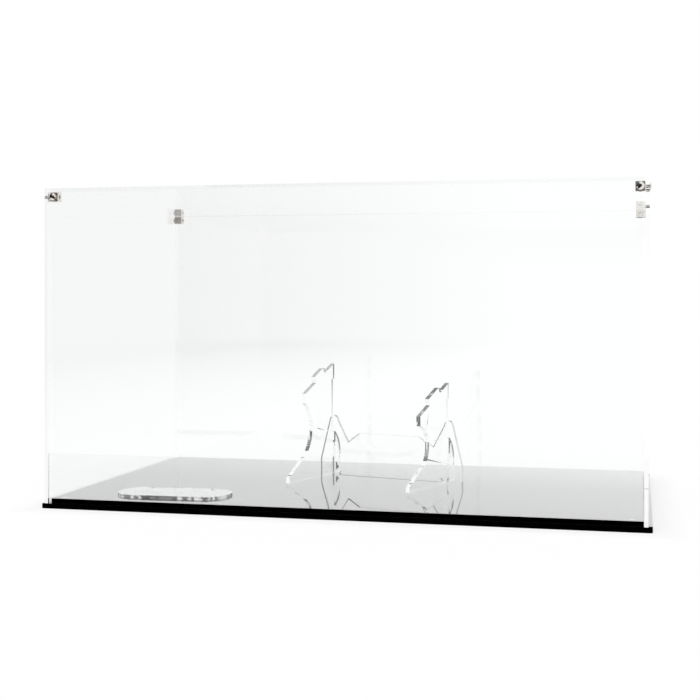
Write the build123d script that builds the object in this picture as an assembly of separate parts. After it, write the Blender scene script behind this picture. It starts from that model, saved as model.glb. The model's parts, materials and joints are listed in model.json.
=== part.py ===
from build123d import *
import math
import os

# A two-tier base with a clear cover that lifts off, a clear stand and a loose nameplate.
# Millimetres. The origin is the centre of the base's underside.
# X runs along the length, Y from the front to the back, and Z up.

# Base
base_length = 640.0
base_depth = 400.0
lower_tier_thickness = 5.0
upper_tier_thickness = 5.0
base_corner_radius = 3.0
edge_break = 0.4
ledge_width = 8.5

# Magnets that join the two tiers
magnet_diameter = 8.0
magnet_inset = 11.0
magnet_clearance = 0.1

# Cover
panel_thickness = 4.0
cover_height = 339.0
cover_play = 1.25
cover_shift = -1.0
panel_joint_gap = 0.1

# Corner cubes and their screws
cube_size = 10.0
cube_bevel = 0.5
tapped_hole_diameter = 4.0
screw_shank_diameter = 3.9
panel_hole_diameter = 4.4
screw_engagement = 2.9
screw_head_diameter = 8.0
screw_head_height = 2.0
screw_head_rim = 0.5
screw_socket_width = 3.0
screw_socket_depth = 1.3

# Stand: where it stands on the base and how it is turned
stand_x = -94.6
stand_y = -21.6
stand_turn = -15.0
stand_thickness = 5.0
support_spacing = 155.3
joint_clearance = 0.1

# Stand: the parts of the outline that both supports share, from the tip of the foot
foot_tip_height = 5.8
support_back = 105.0
crest_overhang = 3.5
crest_overhang_height = 19.0
hook_offset = 28.0
hook_height = 8.0
hook_corner_radius = 5.0
buttress_height = 51.4
buttress_reach = 21.5
buttress_bulge = 4.0
heel_height = 17.8
slot_web = 20.0

# Stand: the rail that joins the two supports
rail_overhang = 19.3
rail_shoulder_height = 17.8
rail_peak_height = 72.2
rail_peak_flank = 7.2
rail_flank_drop = 7.0
rail_valley_offset = 21.5
rail_valley_height = 39.0
rail_plateau_offset = 37.4
rail_plateau_height = 50.8
rail_lift = 2.8
rail_foot_inner = 9.0

# Nameplate
plate_length = 127.0
plate_depth = 64.0
plate_thickness = 3.0
plate_corner_radius = 29.0
plate_setback = 57.5
plate_inset = 119.7
plate_turn = 1.6
plate_hole_diameter = 3.0
plate_hole_spacing = 70.0
plate_hole_inset = 6.5

# Worked out from the sizes above
deck_length = base_length - 2 * ledge_width
deck_depth = base_depth - 2 * ledge_width
deck_top = lower_tier_thickness + upper_tier_thickness
inner_length = deck_length + 2 * cover_play
inner_depth = deck_depth + 2 * cover_play
outer_length = inner_length + 2 * panel_thickness
outer_depth = inner_depth + 2 * panel_thickness
cover_top = lower_tier_thickness + cover_height
ceiling = cover_top - panel_thickness
cube_level = ceiling - cube_size / 2
cube_x = inner_length / 2 - cube_size / 2
cube_y = inner_depth / 2 - cube_size / 2
magnet_x = deck_length / 2 - magnet_inset
magnet_y = deck_depth / 2 - magnet_inset
slot_front = support_back + crest_overhang
slot_width = stand_thickness + 2 * joint_clearance
slot_back = slot_front + slot_width
heel = support_back + buttress_reach


class SupportShape:
    """The sizes in which the two supports differ, measured from the tip of the foot."""

    def __init__(self, nose_setback, nose_bottom, nose_top, crest, waist, ankle, hook_length):
        self.nose_setback = nose_setback
        self.nose_bottom = nose_bottom
        self.nose_top = nose_top
        self.crest = crest
        self.waist = waist
        self.ankle = ankle
        self.hook_length = hook_length


tall_support = SupportShape(
    nose_setback=37.0,
    nose_bottom=91.8,
    nose_top=102.8,
    crest=136.6,
    waist=(54.0, 62.0),
    ankle=(31.0, 25.0),
    hook_length=27.0,
)
short_support = SupportShape(
    nose_setback=28.0,
    nose_bottom=71.7,
    nose_top=83.1,
    crest=117.0,
    waist=(52.0, 46.0),
    ankle=(31.0, 22.5),
    hook_length=34.0,
)


def four_corners(x, y):
    return [(sx * x, sy * y) for sx in (-1, 1) for sy in (-1, 1)]


def upright_cylinder(x, y, diameter, low, high):
    """A cylinder along Z between two heights."""
    return extrude(Plane.XY.offset(low) * Pos(x, y) * Circle(diameter / 2), high - low)


def tier(length, depth, low, thickness, corner_radius):
    """One sheet of the base, with a hole for a magnet near each corner."""
    outline = RectangleRounded(length, depth, corner_radius)
    sheet = extrude(Plane.XY.offset(low) * outline, thickness)
    sheet = chamfer(sheet.faces().sort_by(Axis.Z)[-1].edges(), edge_break)
    for x, y in four_corners(magnet_x, magnet_y):
        diameter = magnet_diameter + 2 * magnet_clearance
        sheet -= upright_cylinder(x, y, diameter, low, low + thickness)
    return sheet


def magnets(low, thickness):
    """Four disc magnets, flush with both faces of their sheet."""
    discs = []
    for x, y in four_corners(magnet_x, magnet_y):
        discs.append(upright_cylinder(x, y, magnet_diameter, low, low + thickness))
    return Compound(children=discs)


def screw_sites():
    """Each side of the cover, with the middle of its screws' seats and the way the heads face."""
    half_length = outer_length / 2
    half_depth = outer_depth / 2
    return {
        "front": ([Vector(x, -half_depth, cube_level) for x in (-cube_x, cube_x)], Vector(0, -1, 0)),
        "back": ([Vector(x, half_depth, cube_level) for x in (-cube_x, cube_x)], Vector(0, 1, 0)),
        "left": ([Vector(-half_length, y, cube_level) for y in (-cube_y, cube_y)], Vector(-1, 0, 0)),
        "right": ([Vector(half_length, y, cube_level) for y in (-cube_y, cube_y)], Vector(1, 0, 0)),
    }


def wall(side):
    """One upright panel, drilled for its two screws. The side walls cover the ends of the others."""
    seats, outward = screw_sites()[side]
    across = inner_length - 2 * panel_joint_gap
    size = (across, panel_thickness) if outward.Y else (panel_thickness, outer_depth)
    middle = seats[0].dot(outward) - panel_thickness / 2
    centre = outward * middle
    sheet = Box(size[0], size[1], cover_height, align=(Align.CENTER, Align.CENTER, Align.MIN))
    sheet = Pos(centre.X, centre.Y, lower_tier_thickness) * sheet
    for seat in seats:
        face = Plane(origin=seat, z_dir=outward)
        sheet -= extrude(face * Circle(panel_hole_diameter / 2), -panel_thickness)
    return sheet


def top_panel():
    """The roof, let in between the walls and resting on the cubes."""
    length = inner_length - 2 * panel_joint_gap
    depth = inner_depth - 2 * panel_joint_gap
    sheet = Box(length, depth, panel_thickness, align=(Align.CENTER, Align.CENTER, Align.MIN))
    return Pos(0, 0, ceiling) * sheet


def corner_cube(x, y):
    """A bevelled metal cube with a tapped hole through each pair of faces."""
    block = chamfer(Box(cube_size, cube_size, cube_size).edges(), cube_bevel)
    for direction in (Axis.X, Axis.Y, Axis.Z):
        side = Plane(origin=(0, 0, 0), z_dir=direction.direction)
        block -= extrude(side * Circle(tapped_hole_diameter / 2), cube_size, both=True)
    return Pos(x, y, cube_level) * block


def screw():
    """A domed screw along Z. Its head sits on the plane Z = 0 and its shank points down."""
    head_radius = screw_head_diameter / 2
    shank_radius = screw_shank_diameter / 2
    dome_rise = screw_head_height - screw_head_rim
    dome_radius = (head_radius ** 2 + dome_rise ** 2) / (2 * dome_rise)
    half_angle = math.asin(head_radius / dome_radius) / 2
    dome_middle = (
        dome_radius * math.sin(half_angle),
        screw_head_height - dome_radius * (1 - math.cos(half_angle)),
    )
    tip = -(panel_thickness + screw_engagement)
    lower_profile = Polyline(
        (0, screw_head_height), (0, tip), (shank_radius, tip), (shank_radius, 0), (head_radius, 0),
        (head_radius, screw_head_rim),
    )
    dome = ThreePointArc((head_radius, screw_head_rim), dome_middle, (0, screw_head_height))
    body = revolve(Plane.XZ * make_face([lower_profile, dome]), Axis.Z)
    socket = RegularPolygon(screw_socket_width / 2, 6, major_radius=False)
    return body - extrude(Plane.XY.offset(screw_head_height) * socket, -screw_socket_depth)


def wall_screws(side):
    """The two screws that hold one wall to its cubes."""
    seats, outward = screw_sites()[side]
    return [Plane(origin=seat, z_dir=outward).location * screw() for seat in seats]


def stand_plane(along, back, facing):
    """A plane of the turned stand, at a place along it and towards its back."""
    turn = math.radians(stand_turn)
    across = Vector(math.cos(turn), math.sin(turn), 0)
    depth = Vector(-math.sin(turn), math.cos(turn), 0)
    origin = Vector(stand_x, stand_y, deck_top) + across * along + depth * back
    if facing == "support":
        return Plane(origin=origin, x_dir=depth, z_dir=across)
    return Plane(origin=origin, x_dir=across, z_dir=depth * -1)


def seat_points(shape):
    """A function that places a point on the sloping seat, along it and square to it."""
    run = slot_front - shape.nose_setback
    rise = shape.crest - shape.nose_top
    length = math.hypot(run, rise)
    along = Vector(run / length, rise / length)
    square = Vector(-along.Y, along.X)
    start = Vector(shape.nose_setback, shape.nose_top)
    return lambda u, v: tuple(start + along * u + square * v)[:2]


def support(shape, along):
    """An upright plate with a stepped seat, a waisted front and a slotted buttress behind."""
    at = seat_points(shape)
    hook_end = hook_offset + shape.hook_length
    arc_middle = hook_corner_radius * (1 - math.cos(math.pi / 4))
    front = [
        Line((0, 0), (0, foot_tip_height)),
        Line((0, foot_tip_height), shape.ankle),
        ThreePointArc(shape.ankle, shape.waist, (shape.nose_setback, shape.nose_bottom)),
        Line((shape.nose_setback, shape.nose_bottom), (shape.nose_setback, shape.nose_top)),
    ]
    seat = [
        Polyline(at(0, 0), at(hook_offset, 0), at(hook_offset, hook_height),
                 at(hook_end - hook_corner_radius, hook_height)),
        ThreePointArc(at(hook_end - hook_corner_radius, hook_height),
                      at(hook_end - arc_middle, hook_height - arc_middle),
                      at(hook_end, hook_height - hook_corner_radius)),
        Polyline(at(hook_end, hook_height - hook_corner_radius), at(hook_end, 0),
                 (slot_front, shape.crest)),
    ]
    crest_low = shape.crest - crest_overhang_height
    bulge = ((slot_back + heel) / 2 + buttress_bulge, (buttress_height + heel_height) / 2 + buttress_bulge)
    back = [
        Polyline((slot_front, shape.crest), (slot_front, crest_low), (support_back, crest_low),
                 (support_back, buttress_height), (slot_front, buttress_height), (slot_front, slot_web),
                 (slot_back, slot_web), (slot_back, buttress_height)),
        ThreePointArc((slot_back, buttress_height), bulge, (heel, heel_height)),
        Polyline((heel, heel_height), (heel, 0), (0, 0)),
    ]
    outline = stand_plane(along, 0, "support") * make_face(front + seat + back)
    return extrude(outline, stand_thickness / 2, both=True)


def rail_side():
    """The rail's top outline over one support, from its end to the plateau, support at zero."""
    drop = rail_peak_height - rail_flank_drop
    return [
        Line((-rail_overhang, rail_shoulder_height), (-rail_peak_flank, drop)),
        ThreePointArc((-rail_peak_flank, drop), (0, rail_peak_height), (rail_peak_flank, drop)),
        Polyline((rail_peak_flank, drop), (rail_valley_offset, rail_valley_height),
                 (rail_plateau_offset, rail_plateau_height)),
    ]


def rail():
    """The plate that joins the supports: a peak over each, and a slot that drops onto its web."""
    half = support_spacing / 2
    side = [Pos(-half, 0) * edge for edge in rail_side()]
    end = half + rail_overhang
    foot = half - rail_foot_inner
    middle = half - rail_plateau_offset
    plateau = Line((-middle, rail_plateau_height), (middle, rail_plateau_height))
    underside = Polyline(
        (-end, rail_shoulder_height), (-end, 0), (-foot, 0), (-foot + rail_lift, rail_lift),
        (foot - rail_lift, rail_lift), (foot, 0), (end, 0), (end, rail_shoulder_height),
    )
    edges = side + [mirror(edge, Plane.YZ) for edge in side] + [plateau, underside]
    back = slot_front + slot_width / 2
    plane = stand_plane(half, back, "rail")
    plate = extrude(plane * make_face(edges), stand_thickness / 2, both=True)
    slot_height = slot_web + joint_clearance
    for centre in (-half, half):
        slot = Pos(centre, slot_height / 2) * Rectangle(slot_width, slot_height)
        plate -= extrude(plane * slot, stand_thickness, both=True)
    return plate


def nameplate():
    """A clear oblong with broad round corners, lying flat, with two small holes at the back."""
    outline = RectangleRounded(plate_length, plate_depth, plate_corner_radius)
    hole_y = plate_depth / 2 - plate_hole_inset
    for x in (-plate_hole_spacing / 2, plate_hole_spacing / 2):
        outline -= Pos(x, hole_y) * Circle(plate_hole_diameter / 2)
    place = Pos(plate_inset - deck_length / 2, plate_setback - deck_depth / 2, deck_top)
    place *= Rot(0, 0, plate_turn)
    return place * extrude(outline, plate_thickness)


def base_parts():
    deck_low = lower_tier_thickness
    return {
        "lower_tier": tier(base_length, base_depth, 0, lower_tier_thickness, base_corner_radius),
        "upper_tier": tier(deck_length, deck_depth, deck_low, upper_tier_thickness, edge_break),
        "lower_tier_magnets": magnets(0, lower_tier_thickness),
        "upper_tier_magnets": magnets(deck_low, upper_tier_thickness),
    }


def cover_parts():
    """The cover's pieces, pushed along the base within its play, as the cover sits in use."""
    in_use = Pos(cover_shift, 0)
    parts = {"top_panel": in_use * top_panel()}
    for side in screw_sites():
        parts[f"{side}_panel"] = in_use * wall(side)
        parts[f"{side}_panel_screws"] = Compound(children=[in_use * one for one in wall_screws(side)])
    for end, x in (("left", -cube_x), ("right", cube_x)):
        parts[f"front_{end}_cube"] = in_use * corner_cube(x, -cube_y)
        parts[f"back_{end}_cube"] = in_use * corner_cube(x, cube_y)
    return parts


def loose_parts():
    return {
        "left_support": support(tall_support, 0),
        "right_support": support(short_support, support_spacing),
        "stand_rail": rail(),
        "nameplate": nameplate(),
    }


os.makedirs("parts", exist_ok=True)
for name, solid in (base_parts() | cover_parts() | loose_parts()).items():
    export_step(solid, f"parts/{name}.step")
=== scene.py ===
import json
import math

import bpy
from mathutils import Matrix, Vector


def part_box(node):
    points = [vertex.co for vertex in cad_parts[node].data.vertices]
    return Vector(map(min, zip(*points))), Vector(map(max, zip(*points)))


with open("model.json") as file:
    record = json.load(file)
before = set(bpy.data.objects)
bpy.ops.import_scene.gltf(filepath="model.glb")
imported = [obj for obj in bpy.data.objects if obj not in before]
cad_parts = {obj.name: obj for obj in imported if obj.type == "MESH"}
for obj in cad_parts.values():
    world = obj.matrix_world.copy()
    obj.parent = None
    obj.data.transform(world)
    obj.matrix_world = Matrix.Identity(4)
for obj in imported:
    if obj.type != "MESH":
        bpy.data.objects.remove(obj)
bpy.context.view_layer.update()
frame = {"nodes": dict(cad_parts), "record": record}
BASE_HALF_LENGTH = 0.32
BASE_HALF_DEPTH = 0.2
LEDGE_SHADE_FROM = 0.1912
HOLES_FROM = 0.001
HOLES_TO = 0.012
ROUND_END = 0.02
SLOT_MARGIN = 0.005
SEAT_BOTTOM = 0.085
NOSE_BOTTOM = 0.082
NOSE_TOP = 0.093
AIR_GAP = 0.00002
ACRYLIC_IOR = 1.49
LIGHT_BOUNCES = 32
TRAPPED_GLOW = 0.95
# Strength of the glow in painted edge tones: painted light.
PAINTED_EDGE_GLOW = 0.5
DARK_ROOM = 0.93
FLOOR_SIZE = 12.0
CAMERA_PLACE = (0.30587, -1.44113, 0.21831)
CAMERA_YAW, CAMERA_PITCH, CAMERA_ROLL = 0.226, 0.0095, 0.0021


class Socket:
    """A node's output. Python's operators on it add Math nodes."""

    def __init__(self, shader, output):
        self.shader = shader
        self.output = output

    def math(self, operation, *terms):
        return self.shader.add("ShaderNodeMath", {"operation": operation}, dict(enumerate(terms)))

    def __add__(self, other):
        return self.math("ADD", self, other)

    def __sub__(self, other):
        return self.math("SUBTRACT", self, other)

    def __rsub__(self, other):
        return self.math("SUBTRACT", other, self)

    def __mul__(self, other):
        return self.math("MULTIPLY", self, other)

    def __gt__(self, other):
        return self.math("GREATER_THAN", self, other)

    def __lt__(self, other):
        return self.math("LESS_THAN", self, other)

    def clamped(self):
        return self.math("MINIMUM", self.math("MAXIMUM", self, 0.0), 1.0)

    def either(self, other):
        return self.math("MAXIMUM", self, other)

    def magnitude(self):
        return self.math("ABSOLUTE", self)

    __radd__ = __add__
    __rmul__ = __mul__


class Shader:
    """The nodes of one material or of the world."""

    def __init__(self, owner):
        owner.use_nodes = True
        self.tree = owner.node_tree
        self.tree.nodes.clear()

    def add(self, kind, settings=None, inputs=None, output=0):
        node = self.tree.nodes.new(kind)
        for name, value in (settings or {}).items():
            setattr(node, name, value)
        for name, value in (inputs or {}).items():
            if isinstance(value, Socket):
                self.tree.links.new(value.output, node.inputs[name])
            else:
                node.inputs[name].default_value = value
        return Socket(self, node.outputs[output]) if node.outputs else None

    def parts(self, vector):
        """The X, Y and Z of a vector."""
        return [self.add("ShaderNodeSeparateXYZ", {}, {0: vector}, axis) for axis in range(3)]

    def place(self):
        """The point's X, Y and Z on the case."""
        return self.parts(self.add("ShaderNodeTexCoord", {}, {}, "Object"))

    def light_path(self, kind):
        return self.add("ShaderNodeLightPath", {}, {}, kind)

    def mix(self, share, first, second):
        return self.add("ShaderNodeMixShader", {}, {0: share, 1: first, 2: second})


def finished(shader, surface, kind="ShaderNodeOutputMaterial"):
    shader.add(kind, {}, {"Surface": surface})


def material(name):
    made = bpy.data.materials.new(name)
    return made, Shader(made)


def surface_noise(shader, scale, detail):
    place = shader.add("ShaderNodeTexCoord", {}, {}, "Object")
    return shader.add("ShaderNodeTexNoise", {}, {"Vector": place, "Scale": scale, "Detail": detail})


def outward(shader):
    """The surface's own direction, whichever side of it is seen."""
    behind = shader.add("ShaderNodeNewGeometry", {}, {}, "Backfacing")
    side = 1.0 - behind * 2.0
    return [one * side for one in shader.parts(shader.add("ShaderNodeNewGeometry", {}, {}, "Normal"))]


def clear_sheet(shader, coat=0.0):
    """Cast sheet, with a trace of haze. Light that is still inside it after many bounces comes out of it."""
    haze = surface_noise(shader, 18.0, 3.0)
    body = shader.add("ShaderNodeBsdfPrincipled", {}, {
        "Base Color": (0.994, 0.998, 0.997, 1.0),
        "Roughness": (haze - 0.45).clamped() * 0.01,
        "IOR": ACRYLIC_IOR,
        "Transmission Weight": 1.0,
        "Coat Weight": coat,
        "Coat Roughness": 0.0,
        "Coat IOR": ACRYLIC_IOR,
    })
    trapped = shader.light_path("Ray Depth") > LIGHT_BOUNCES - 1.5
    glow = shader.add("ShaderNodeEmission", {}, {"Color": (1.0, 1.0, 1.0, 1.0), "Strength": TRAPPED_GLOW})
    return shader.mix(trapped, body, glow)


def edge_in_painted_tone(shader, shade):
    """A sawn edge, dull, in a painted tone as light as its shade. It glows in that same tone, so a pale one
    is a painted glow.
    """
    return shader.add("ShaderNodeBsdfPrincipled", {}, {
        "Base Color": shade,
        "Roughness": 0.35,
        "Specular IOR Level": 0.0,
        "Emission Color": shade,
        "Emission Strength": PAINTED_EDGE_GLOW,
    })


def clear_acrylic():
    made, shader = material("clear_acrylic")
    finished(shader, clear_sheet(shader))
    return made


def filmed_acrylic():
    """The nameplate's sheet. Its faces have a patchy glossy film; patches of its cut edges and the walls of
    its holes are painted dark, a painted shade.
    """
    made, shader = material("filmed_acrylic")
    cloud = surface_noise(shader, 60.0, 4.0)
    # Patches of painted shade along the cut edges.
    shade_patches = ((surface_noise(shader, 220.0, 2.0) - 0.5) * 8.0).clamped()
    low, high = (Vector(corner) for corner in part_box("nameplate"))
    middle, straight = (low.x + high.x) / 2, (high.x - low.x) / 2 - ROUND_END
    x, y, _ = shader.place()
    from_back = high.y - y
    in_hole = (from_back > HOLES_FROM) * (from_back < HOLES_TO) * ((x - middle).magnitude() < straight)
    edge = outward(shader)[2].magnitude() < 0.5
    film = clear_sheet(shader, (cloud * 1.2 - 0.1).clamped())
    # Painted shade: a near-black dull edge on those patches and hole walls.
    painted_dark_edge = edge_in_painted_tone(shader, (0.03, 0.028, 0.027, 1.0))
    finished(shader, shader.mix(edge * shade_patches.either(in_hole) * 0.8, film, painted_dark_edge))
    return made


def painted_pale_seat_acrylic():
    """The left support's sheet, with painted light along its seat."""
    made, shader = material("painted_pale_seat_acrylic")
    # Painted light: faces looking up along the seat are mixed half with a pale, glowing edge.
    seat = (outward(shader)[2] > 0.3) * (shader.place()[2] > SEAT_BOTTOM)
    finished(shader, shader.mix(seat * 0.5, clear_sheet(shader), edge_in_painted_tone(shader, (0.8, 0.8, 0.8, 1.0))))
    return made


def nose_painted_dark_acrylic():
    """The right support's sheet, with painted shade along the upright edge of its nose."""
    made, shader = material("nose_painted_dark_acrylic")
    height = shader.place()[2]
    # Painted shade: the nose's front-facing edge is mixed mostly with a near-black edge.
    nose = (outward(shader)[1] < -0.5) * (height > NOSE_BOTTOM) * (height < NOSE_TOP)
    finished(shader, shader.mix(nose * 0.85, clear_sheet(shader), edge_in_painted_tone(shader, (0.02, 0.02, 0.02, 1.0))))
    return made


def rail_painted_edges_acrylic():
    """The rail's sheet. Of its cut edges off the slots, those that face left get painted shade, the others
    painted light; its flat top and bottom edges are partly painted pale too.
    """
    made, shader = material("rail_painted_edges_acrylic")
    left, right = (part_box(f"{side}_support") for side in ("left", "right"))
    start = (Vector(left[0]) + Vector(left[1])) / 2
    step = (Vector(right[0]) + Vector(right[1])) / 2 - start
    step.z = 0.0
    spacing, run = step.length, step.normalized()
    normal_x, normal_y, normal_z = outward(shader)
    facing = normal_x * run.x + normal_y * run.y
    x, y, _ = shader.place()
    along = (x - start.x) * run.x + (y - start.y) * run.y
    off_slots = ((along - spacing / 2).magnitude() - spacing / 2).magnitude() > SLOT_MARGIN
    # Where the painted edge tone goes: side edges off the slots, and the flat top and bottom edges.
    flank = (facing.magnitude() > 0.3) * off_slots * 0.85
    level = (normal_z.magnitude() > 0.9) * 0.6
    # Painted shade on edges that face left; the rest get a pale tone and glow, painted light.
    painted_left_shade = (facing * -3.0).clamped()
    edge = edge_in_painted_tone(shader, 0.01 + (1.0 - painted_left_shade) * 0.75)
    finished(shader, shader.mix(flank.either(level), clear_sheet(shader), edge))
    return made


def black_acrylic():
    """Polished and a little bowed on its face, dull on its cut edges. Its mirror is stronger than its
    Fresnel and grows to the right and front, a painted reflection. The strips at front and back where the
    cover stands get no mirror, a painted shade.
    """
    made, shader = material("black_acrylic")
    normal = shader.add("ShaderNodeNewGeometry", {}, {}, "Normal")
    upright = shader.parts(normal)[2].magnitude() > 0.5
    across, deep, _ = shader.place()
    # Painted shade: the strips at front and back where the cover stands get no mirror.
    painted_ledge_shade = deep.magnitude() > LEDGE_SHADE_FROM
    bow = (1.0 - deep * 5.2).clamped() * -0.02
    level = shader.add("ShaderNodeCombineXYZ", {}, {"X": 0.0, "Y": bow, "Z": 1.0})
    ripple = surface_noise(shader, 6.0, 2.0)
    bump = shader.add("ShaderNodeBump", {}, {
        "Strength": 0.02, "Distance": 0.0004, "Height": ripple,
        "Normal": shader.add("ShaderNodeVectorMath", {"operation": "NORMALIZE"}, {0: level}),
    })
    gloss = shader.add("ShaderNodeFresnel", {}, {"IOR": ACRYLIC_IOR, "Normal": bump})
    mirror = shader.add("ShaderNodeBsdfPrincipled", {}, {
        "Base Color": (0.98, 0.98, 0.985, 1.0),
        "Metallic": 1.0,
        "Roughness": 0.015,
        "Normal": bump,
    })
    body = shader.add("ShaderNodeBsdfPrincipled", {}, {
        "Base Color": (0.0005, 0.0005, 0.0005, 1.0),
        "Roughness": 0.5,
        "Specular IOR Level": 0.0,
    })
    # Painted reflection: the mirror is stronger than its Fresnel, more so to the right and front.
    painted_reflection_gain = 1.62 + across * 0.44 - deep * 0.28
    finished(shader, shader.mix((gloss * painted_reflection_gain).clamped() * upright * (1.0 - painted_ledge_shade), body, mirror))
    return made


def nickel(name, color, roughness):
    """Bright plate with fine polishing marks. Its colour is darkened down in its holes and sockets by
    ambient occlusion, a painted shade.
    """
    made, shader = material(name)
    marks = surface_noise(shader, 900.0, 2.0)
    # Painted shade: ambient occlusion darkens the colour down in holes and sockets.
    open_air = shader.add("ShaderNodeAmbientOcclusion", {"samples": 8, "only_local": True}, {
        "Distance": 0.0025,
    }, "AO")
    bright = shader.add("ShaderNodeMix", {"data_type": "RGBA"}, {
        "Factor": (open_air * 1.6 - 0.55).clamped(), "A": (0.03, 0.028, 0.026, 1.0), "B": color,
    }, "Result")
    body = shader.add("ShaderNodeBsdfPrincipled", {}, {
        "Base Color": bright,
        "Metallic": 1.0,
        "Roughness": marks * 0.05 + roughness,
    })
    finished(shader, body)
    return made


def hairline_gap(node):
    """Draws a clear sheet in a little, so that air lies between it and what it touches."""
    weld = node.modifiers.new("weld", "WELD")
    weld.merge_threshold = 0.000001
    draw_in = node.modifiers.new("draw_in", "DISPLACE")
    draw_in.strength = -AIR_GAP
    draw_in.mid_level = 0.0


def metal_glints(shader):
    """One for a ray that has just left bright metal, which is never quite a mirror."""
    return shader.light_path("Is Glossy Ray") * (1.0 - shader.light_path("Is Singular Ray"))


def floor():
    """A wide white sheet that keeps a faint shadow. Reflections see parts of it dark, as in a dark room."""
    bpy.ops.mesh.primitive_plane_add(size=FLOOR_SIZE)
    sheet = bpy.context.object
    sheet.name = "floor"
    made, shader = material("floor")
    across, deep, _ = shader.place()
    under_front = (deep > -0.26) * (deep < -0.19)
    front_left = (across * -0.7 - 0.3).clamped() * (deep < -0.3)
    ahead = (deep + across.magnitude() * 1.3) < -0.3
    glints = shader.light_path("Glossy Depth") > 0.5
    shaded = (under_front.either(front_left) * glints).either(ahead * metal_glints(shader))
    dark = shader.add("ShaderNodeEmission", {}, {"Strength": 0.0})
    lit = shader.add("ShaderNodeBsdfDiffuse", {}, {"Color": (0.95, 0.95, 0.95, 1.0)})
    white = shader.add("ShaderNodeEmission", {}, {"Strength": 1.0})
    beyond = (across.magnitude() - BASE_HALF_LENGTH).either(deep.magnitude() - BASE_HALF_DEPTH)
    # Painted shadow, partly rendered: near the base the floor shows more of its rendered shading.
    contact = (1.0 - beyond * 30.0).clamped()
    seen = shader.light_path("Is Camera Ray") * (0.975 - contact * 0.25)
    for kind in ("Is Glossy Ray", "Is Transmission Ray"):
        seen = seen.either(shader.light_path(kind))
    finished(shader, shader.mix(shaded, shader.mix(seen, lit, white), dark))
    sheet.data.materials.append(made)


def studio_world():
    """A white surround. Reflections see a darker room in front: to the left, high up and straight on."""
    world = bpy.data.worlds.new("studio")
    bpy.context.scene.world = world
    shader = Shader(world)
    x, y, z = shader.parts(shader.add("ShaderNodeTexCoord", {}, {}, "Generated"))
    in_front = (y * -3.0).clamped()
    to_the_left = (x * -3.6 - 0.35).clamped()
    high = ((z - 0.03) * 20.0).clamped()
    straight_on = (y * -12.0 - 9.6).clamped()
    bounces = shader.light_path("Glossy Depth")
    glints = bounces > 0.5
    twice = bounces > 1.5
    passes = shader.light_path("Transmission Depth")
    from_inside = (passes > 3.5) * (passes < 4.5)
    from_foot = twice * (passes > 1.5) * (passes < 2.5) * high
    room = (to_the_left.either(from_inside * high) * (1.0 - twice)).either(from_foot)
    dark = (in_front * room).either(straight_on * metal_glints(shader))
    level = 1.0 - glints * dark * DARK_ROOM
    surround = shader.add("ShaderNodeBackground", {}, {"Color": (1.0, 1.0, 1.0, 1.0), "Strength": level})
    finished(shader, surround, "ShaderNodeOutputWorld")


def camera():
    data = bpy.data.cameras.new("camera")
    data.lens = 64.61
    data.sensor_width = 36.0
    data.shift_y = -0.0459
    data.clip_start = 0.05
    view = bpy.data.objects.new("camera", data)
    bpy.context.scene.collection.objects.link(view)
    yaw, pitch, roll = CAMERA_YAW, CAMERA_PITCH, CAMERA_ROLL
    forward = Vector((-math.sin(yaw) * math.cos(pitch), math.cos(yaw) * math.cos(pitch), -math.sin(pitch)))
    right = Vector((math.cos(yaw), math.sin(yaw), 0.0))
    up = right.cross(forward)
    right, up = (
        math.cos(roll) * right + math.sin(roll) * up,
        math.cos(roll) * up - math.sin(roll) * right,
    )
    turn = Matrix((right, up, -forward)).transposed()
    view.matrix_world = Matrix.Translation(CAMERA_PLACE) @ turn.to_4x4()
    bpy.context.scene.camera = view


LOOKS = {
    "clear_acrylic": clear_acrylic(),
    "black_acrylic": black_acrylic(),
    "nickel": nickel("nickel", (0.78, 0.75, 0.71, 1.0), 0.05),
    "magnet": nickel("magnet", (0.66, 0.66, 0.67, 1.0), 0.22),
}
OWN_LOOKS = {
    "nameplate": filmed_acrylic(),
    "left_support": painted_pale_seat_acrylic(),
    "right_support": nose_painted_dark_acrylic(),
    "stand_rail": rail_painted_edges_acrylic(),
}
for part in frame["record"]["subparts"]:
    node = frame["nodes"][part["node"]]
    node.data.materials.clear()
    node.data.materials.append(OWN_LOOKS.get(part["node"], LOOKS[part["material_slot"]]))
    if part["material_slot"] == "clear_acrylic":
        hairline_gap(node)

camera()
floor()
studio_world()
bpy.context.scene.view_settings.view_transform = "Standard"
paths = bpy.context.scene.cycles
paths.max_bounces = paths.transmission_bounces = paths.glossy_bounces = LIGHT_BOUNCES
